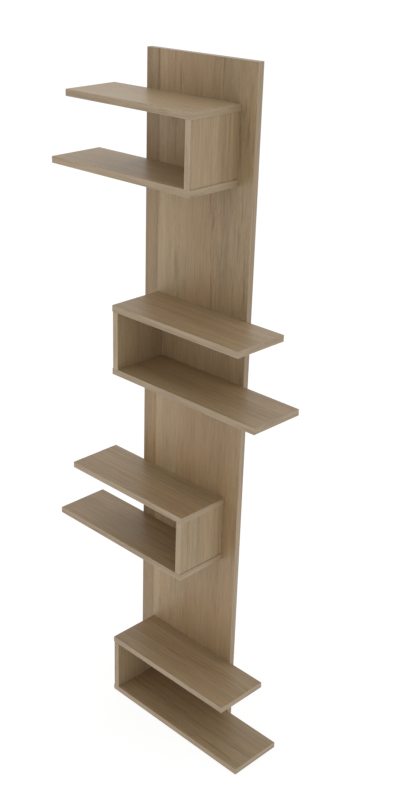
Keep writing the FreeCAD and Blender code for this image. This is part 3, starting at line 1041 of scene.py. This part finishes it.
    @classmethod
    def finish(cls, piece: bpy.types.Object, material: bpy.types.Material, slot: Slot, node: str) -> None:
        """Smooths a piece, dresses it and lets it stand for a node.

        Args:
            piece: The piece.
            material: Its material.
            slot: Not used.
            node: The node that it stands for.
        """
        cls.take(piece)
        bpy.ops.object.shade_smooth_by_angle(angle=cls.crease)
        piece.data.materials.clear()
        piece.data.materials.append(material)
        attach(piece, BODY)
        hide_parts(node)
        LOG.info("modelled %s", piece.name)

    @staticmethod
    def copy(piece: bpy.types.Object, name: str, move: Vector) -> bpy.types.Object:
        """Copies a piece with its own mesh, moved to another place.

        Args:
            piece: The piece that is copied.
            name: The copy's name.
            move: How far the copy lies from it.

        Returns:
            The copy.
        """
        copied = piece.copy()
        copied.name = name
        copied.data = piece.data.copy()
        copied.data.transform(Matrix.Translation(move))
        bpy.context.scene.collection.objects.link(copied)
        return copied


@dataclass
class Joinery:
    """What all boards and strips share: their finishes and the count of pieces cut so far."""

    laminate: BoardLaminate = BoardLaminate()
    edging: StripEdging = StripEdging()
    pieces_cut: int = 0

    def next_cut(self, grain: Axis) -> Cut:
        """Gives back the next cut from the sheet, with the grain along an axis."""
        self.pieces_cut += 1
        return Cut(grain, self.pieces_cut)

    def dress_board(self, name: str, run: Axis, **changes: object) -> None:
        """Gives a board its laminate.

        Args:
            name: The board's node.
            run: The axis that the grain runs along.
            changes: What is different in this board's laminate.
        """
        laminate = replace(self.laminate, **changes)
        dress_node(name, laminate.material(name, self.next_cut(run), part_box(name)))

    def dress_strip(self, name: str, **changes: object) -> None:
        """Gives a strip of edging its finish, with the grain along the strip.

        Args:
            name: The strip's node.
            changes: What is different in this strip's edging.
        """
        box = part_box(name)
        run = longest(box)
        across = next(axis for axis in Axis if axis not in (run, thinnest(box)))
        edging = replace(self.edging, **changes)
        dress_node(name, edging.material(name, self.next_cut(run), across, box))


@dataclass
class Spine:
    """The tall back board and the edging on its four sides."""

    joinery: Joinery
    sides: tuple[str, ...] = ("left", "right", "top", "bottom")
    calm: GrainWeights = GrainWeights(band=0.2, streak=0.25, line=0.22, fibre=0.48)
    shade: float = -0.03
    warm: Triple = (1.033, 0.977, 0.922)
    cool: Triple = (0.978, 0.994, 1.002)
    # The two broad stripes make the spine paler towards its left side and darker towards its right; the
    # narrow ones are printed stripes.
    stripes: tuple[Stripe, ...] = (
        Stripe(-0.085, 0.105, 0.11), Stripe(-0.125, 0.017, 0.13, core=0.008),
        Stripe(-0.143, 0.008, -0.11), Stripe(-0.175, 0.038, -0.05, core=0.026), Stripe(0.110, 0.100, -0.05))

    def dress(self) -> None:
        """Dresses the board with upright grain, and its edging."""
        self.joinery.dress_board("spine_panel", Axis.Z, grain=self.calm, shade=self.shade, warm=self.warm,
                                 cool=self.cool, stripes=self.stripes)
        for side in self.sides:
            self.joinery.dress_strip(f"spine_{side}_edging")


@dataclass(frozen=True)
class UnitTonesAndPaintedLight:
    """How much paler or darker than the sheet each board of a shelf unit is: partly the boards' own tone,
    partly painted light, with higher units paler and lower ones darker as if light fell from above.
    """

    lower_shelf: float
    upper_shelf: float
    upright: float


@dataclass
class ShelfUnit:
    """Two shelves and the upright between them, each with its edging."""

    name: str
    shades: UnitTonesAndPaintedLight
    joinery: Joinery
    sides: tuple[str, ...] = ("front", "rear", "inner_end", "free_end")
    upright_edge_shade: float = 0.15
    upright_warm: Triple = (0.985, 0.993, 0.985)

    def dress(self) -> None:
        """Dresses the shelves with grain along them, the upright with upright grain, and all edging."""
        # The shelves' and the upright's shades hold painted light as well as the boards' own tone.
        shelves = {"lower_shelf": self.shades.lower_shelf, "upper_shelf": self.shades.upper_shelf}
        for shelf, shade in shelves.items():
            node = f"{self.name}_{shelf}"
            self.joinery.dress_board(node, Axis.X, shade=shade)
            for side in self.sides:
                self.joinery.dress_strip(f"{node}_{side}_edging")
        upright = f"{self.name}_upright"
        self.joinery.dress_board(upright, Axis.Z, shade=self.shades.upright, warm=self.upright_warm)
        self.joinery.dress_strip(f"{upright}_front_edging", shade=self.upright_edge_shade)


# Painted light as well as tone: the upper units are paler and the lower ones darker, standing in for light
# from above; the bottom upright is paler for painted light thrown up from the floor, and the top upper shelf
# paler for a painted sheen.
UNIT_TONES_AND_PAINTED_LIGHT = {
    "bottom": UnitTonesAndPaintedLight(lower_shelf=-0.045, upper_shelf=-0.055, upright=0.1),
    "lower_middle": UnitTonesAndPaintedLight(lower_shelf=-0.08, upper_shelf=-0.045, upright=0.0),
    "upper_middle": UnitTonesAndPaintedLight(lower_shelf=0.01, upper_shelf=0.035, upright=0.05),
    "top": UnitTonesAndPaintedLight(lower_shelf=0.08, upper_shelf=0.15, upright=-0.02),
}


@dataclass
class Fasteners:
    """The connector screws, whose heads show on the back, and the dowels inside the joints."""

    zinc: PlatedSteel = PlatedSteel()
    beech: TurnedBeech = TurnedBeech()

    def dress(self) -> None:
        """Dresses the screws and dowels."""
        dress_node("connector_screws", self.zinc.material("connector_screws"))
        dress_node("dowels", self.beech.material("dowels", Cut(Axis.Y, number=1)))


@dataclass
class WallHangers:
    """Two stamped keyhole plates let into the back of the spine, and the screws that hold them."""

    node: str = "hanger_plates"
    width: float = 20 * MM
    screw_spacing: float = 40 * MM
    keyhole_drop: float = 6 * MM
    keyhole_diameter: float = 10 * MM
    slot_width: float = 5 * MM
    slot_rise: float = 11 * MM
    screw_hole: float = 3.7 * MM
    sink_diameter: float = 6.7 * MM
    sink_depth: float = 1.3 * MM
    rim: float = 0.3 * MM
    rim_steps: int = 3
    overcut: float = 0.1 * MM
    stamped: PlatedSteel = PlatedSteel(roughness=(0.36, 0.56))
    passivated: PlatedSteel = PlatedSteel(pale=srgb(214, 186, 118), deep=srgb(186, 152, 88))

    def build(self) -> None:
        """Models one plate, copies it, and dresses the plates and their screws."""
        low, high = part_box(self.node)
        left = self.model_plate(low, high)
        right = Bench.copy(left, "hanger_plate_right", Vector((high.x - low.x - self.width, 0.0, 0.0)))
        steel = self.stamped.material(self.node)
        for plate in (left, right):
            Bench.finish(plate, steel, Slot.HANGER, self.node)
        dress_node("hanger_screws", self.passivated.material("hanger_screws"))

    def model_plate(self, low: Vector, high: Vector) -> bpy.types.Object:
        """Models the plate with the lower X: a round blank pulled long, rounded at its rim and punched.

        Args:
            low: The lowest corner of the two plates.
            high: The highest corner of the two plates.

        Returns:
            The plate.
        """
        thickness = high.y - low.y
        outer = Vector((low.x + self.width / 2, high.y, (low.z + high.z) / 2))
        inwards = Vector((0.0, -thickness, 0.0))
        to_screw = Vector((0.0, 0.0, self.screw_spacing / 2))
        plate = Bench.turn_blank("hanger_plate_left", Axis.Y, outer + inwards, thickness, self.width / 2)
        Bench.pull(plate, lambda corner: corner.z < outer.z, -to_screw)
        Bench.pull(plate, lambda corner: corner.z > outer.z, to_screw)
        Bench.round_rim(plate, lambda corner: corner.y > high.y - self.overcut, self.rim, self.rim_steps)
        keyhole = outer - Vector((0.0, 0.0, self.keyhole_drop))
        soft = 2 * self.rim
        Bench.cut_away(
            plate,
            self.punch(keyhole, thickness, self.keyhole_diameter, self.keyhole_diameter + soft, self.rim),
            self.punch(keyhole, thickness, self.slot_width, self.slot_width + soft, self.rim, self.slot_rise),
            self.punch(outer - to_screw, thickness, self.screw_hole, self.sink_diameter, self.sink_depth),
            self.punch(outer + to_screw, thickness, self.screw_hole, self.sink_diameter, self.sink_depth))
        return plate

    def punch(self, outer: Vector, thickness: float, width: float, flared_width: float, flare_depth: float,
              rise: float = 0.0) -> bpy.types.Object:
        """Makes the cutter of a hole that flares to the plate's outer face, a little longer than the hole.

        Args:
            outer: The middle of the hole on the plate's outer face.
            thickness: The plate's thickness.
            width: The hole's width at the inner face.
            flared_width: Its width at the outer face.
            flare_depth: How deep the flare is.
            rise: How far the upper half is pulled up, which makes a slot of a round hole.

        Returns:
            The cutter.
        """
        past_face = (flared_width - width) / 2 / flare_depth * self.overcut
        start = outer - Vector((0.0, thickness + self.overcut, 0.0))
        straight = thickness + self.overcut - flare_depth
        cutter = Bench.turn_blank("punch", Axis.Y, start, straight, width / 2)
        Bench.draw_on(cutter, Axis.Y, outer.y - flare_depth,
                      [(flare_depth + self.overcut, flared_width / 2 + past_face)])
        if rise:
            Bench.pull(cutter, lambda corner: corner.z > outer.z, Vector((0.0, 0.0, rise)))
        return cutter


@dataclass
class FloorGlides:
    """Moulded glides under the bottom shelf and the spine, and the nails that hold them."""

    node: str = "floor_glides"
    diameter: float = 16 * MM
    edge_distance: float = 30 * MM
    spine_distance: float = 20 * MM
    well_diameter: float = 5.2 * MM
    well_depth: float = 2 * MM
    nail_hole: float = 2.2 * MM
    foot_radius: float = 1.1 * MM
    foot_steps: int = 5
    rim: float = 0.25 * MM
    rim_steps: int = 3
    plastic: MouldedPlastic = MouldedPlastic()
    bright: PlatedSteel = PlatedSteel(roughness=(0.2, 0.36))

    def build(self) -> None:
        """Models one glide, copies it to the others' places, and dresses the glides and their nails."""
        first, *others = self.places()
        glides = [self.model_glide("floor_glide_1", first)]
        for number, place in enumerate(others, 2):
            glides.append(Bench.copy(glides[0], f"floor_glide_{number}", place - first))
        plastic = self.plastic.material(self.node)
        for glide in glides:
            Bench.finish(glide, plastic, Slot.GLIDE, self.node)
        dress_node("glide_nails", self.bright.material("glide_nails"))

    def places(self) -> list[Vector]:
        """Finds where the glides stand on the floor, four under the bottom shelf and two under the spine.

        Returns:
            The points under the middles of the glides.
        """
        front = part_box("bottom_lower_shelf_front_edging")[0]
        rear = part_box("bottom_lower_shelf_rear_edging")[1]
        left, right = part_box("spine_left_edging")[0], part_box("spine_right_edging")[1]
        inwards = self.edge_distance
        under_shelf = [Vector((x, y, 0.0)) for x in (front.x + inwards, rear.x - inwards)
                       for y in (front.y + inwards, rear.y - inwards)]
        middle = (left.y + right.y) / 2
        spine_ends = (left.x + self.spine_distance, right.x - self.spine_distance)
        return under_shelf + [Vector((x, middle, 0.0)) for x in spine_ends]

    def model_glide(self, name: str, place: Vector) -> bpy.types.Object:
        """Models a glide: a round blank with a well for the nail's head, bored and rounded at its rims.

        Args:
            name: The glide's name.
            place: The point on the floor under its middle.

        Returns:
            The glide.
        """
        low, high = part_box(self.node)
        radius, well, nail = (size / 2 for size in (self.diameter, self.well_diameter, self.nail_hole))
        glide = Bench.turn_blank(name, Axis.Z, place, high.z - low.z, radius)
        Bench.draw_on(glide, Axis.Z, low.z, [(0.0, well), (self.well_depth, well), (0.0, nail)])
        Bench.draw_on(glide, Axis.Z, high.z, [(0.0, nail)])
        Bench.bore(glide, lambda corner: (corner - place).xy.length < (nail + well) / 2)

        def on_rim(height: float, outer: bool) -> Callable[[Vector], bool]:
            """Chooses the corners at a height on the outer rim, or on the rim of the well."""
            return lambda corner: (abs(corner.z - height) < self.rim
                                   and ((corner - place).xy.length > (radius + well) / 2) == outer)

        Bench.round_rim(glide, on_rim(low.z, outer=False), self.rim, self.rim_steps)
        Bench.round_rim(glide, on_rim(high.z, outer=True), self.rim, self.rim_steps)
        Bench.round_rim(glide, on_rim(low.z, outer=True), self.foot_radius, self.foot_steps)
        return glide


@dataclass
class Studio:
    """A plain white floor and surround, and soft light from all round."""

    floor_size: float = 60.0
    floor_drop: float = 0.3 * MM
    floor_colour: Triple = (0.9, 0.9, 0.9)
    floor_glow: float = 0.4
    ambient: float = 0.84
    shown_white: float = 0.8

    def build(self) -> None:
        """Builds the floor and the surround."""
        self.build_floor()
        self.build_surround()

    @staticmethod
    def seen_ray(graph: Graph) -> Socket:
        """Finds the rays that show the background itself: from the camera, a mirror or glass.

        Args:
            graph: The graph of the floor or the surround.

        Returns:
            1 on such a ray, and 0 on any other.
        """
        path = graph.add("ShaderNodeLightPath").outputs
        mirrored = graph.math(Sum.MAXIMUM, path["Is Glossy Ray"], path["Is Transmission Ray"])
        return graph.math(Sum.MAXIMUM, path["Is Camera Ray"], mirrored)

    def build_floor(self) -> None:
        """Builds the floor, which looks white but for a faint shadow."""
        bpy.ops.object.select_all(action="DESELECT")
        bpy.ops.mesh.primitive_plane_add(size=self.floor_size, location=(0.0, 0.0, -self.floor_drop))
        floor = bpy.context.object
        floor.name = "floor"
        material = bpy.data.materials.new("floor")
        graph = Graph.emptied(material)
        paper = graph.add("ShaderNodeBsdfDiffuse", {"Color": (*self.floor_colour, 1.0)})
        glow = graph.add("ShaderNodeEmission", {"Color": WHITE, "Strength": self.floor_glow})
        lit = graph.add("ShaderNodeAddShader", {0: paper.outputs[0], 1: glow.outputs[0]})
        white = graph.add("ShaderNodeEmission", {"Color": WHITE, "Strength": 1.0})
        share = graph.math(Sum.MULTIPLY, self.seen_ray(graph), self.shown_white)
        mixed = graph.add("ShaderNodeMixShader", {0: share, 1: lit.outputs[0], 2: white.outputs[0]})
        graph.add("ShaderNodeOutputMaterial", {"Surface": mixed.outputs[0]})
        floor.data.materials.append(material)
        LOG.info("built the floor")

    def build_surround(self) -> None:
        """Builds the surround, which lights the shelf evenly and shows as white."""
        world = bpy.data.worlds.new("surround")
        bpy.context.scene.world = world
        graph = Graph.emptied(world)
        light = graph.add("ShaderNodeBackground", {"Color": WHITE, "Strength": self.ambient})
        white = graph.add("ShaderNodeBackground", {"Color": WHITE, "Strength": 1.0})
        shaders = {0: self.seen_ray(graph), 1: light.outputs[0], 2: white.outputs[0]}
        mixed = graph.add("ShaderNodeMixShader", shaders)
        graph.add("ShaderNodeOutputWorld", {"Surface": mixed.outputs[0]})
        LOG.info("built the surround")


@dataclass
class PhotoCamera:
    """The camera, at the right of the shelf and above it, looking down at its front."""

    position: Triple = (1.955, -1.954, 2.265)
    azimuth: float = 47.63
    elevation: float = 25.55
    focal_length: float = 50.43
    sensor: float = 36.0
    pixels_right: float = 78.1
    pixels_up: float = 22.5

    def build(self) -> None:
        """Makes the camera, with the image moved by some pixels off its optical axis."""
        data = bpy.data.cameras.new("camera")
        data.sensor_width = self.sensor
        data.lens = self.focal_length
        long_side = max(IMAGE_WIDTH, IMAGE_HEIGHT)
        data.shift_x = self.pixels_right / long_side
        data.shift_y = self.pixels_up / long_side
        camera = bpy.data.objects.new("camera", data)
        camera.location = self.position
        camera.rotation_euler = (math.radians(90 - self.elevation), 0.0, math.radians(self.azimuth))
        bpy.context.scene.collection.objects.link(camera)
        bpy.context.scene.camera = camera
        LOG.info("built the camera")


def main() -> None:
    """Builds and dresses the shelf piece by piece, then builds the studio and the camera."""
    logging.basicConfig(level=logging.INFO, format="%(name)s: %(message)s")
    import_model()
    bpy.context.scene.view_settings.view_transform = "Standard"
    joinery = Joinery()
    Spine(joinery).dress()
    for name, shades in UNIT_TONES_AND_PAINTED_LIGHT.items():
        ShelfUnit(name, shades, joinery).dress()
    Fasteners().dress()
    WallHangers().build()
    FloorGlides().build()
    Studio().build()
    PhotoCamera().build()


if __name__ == "__main__":
    main()
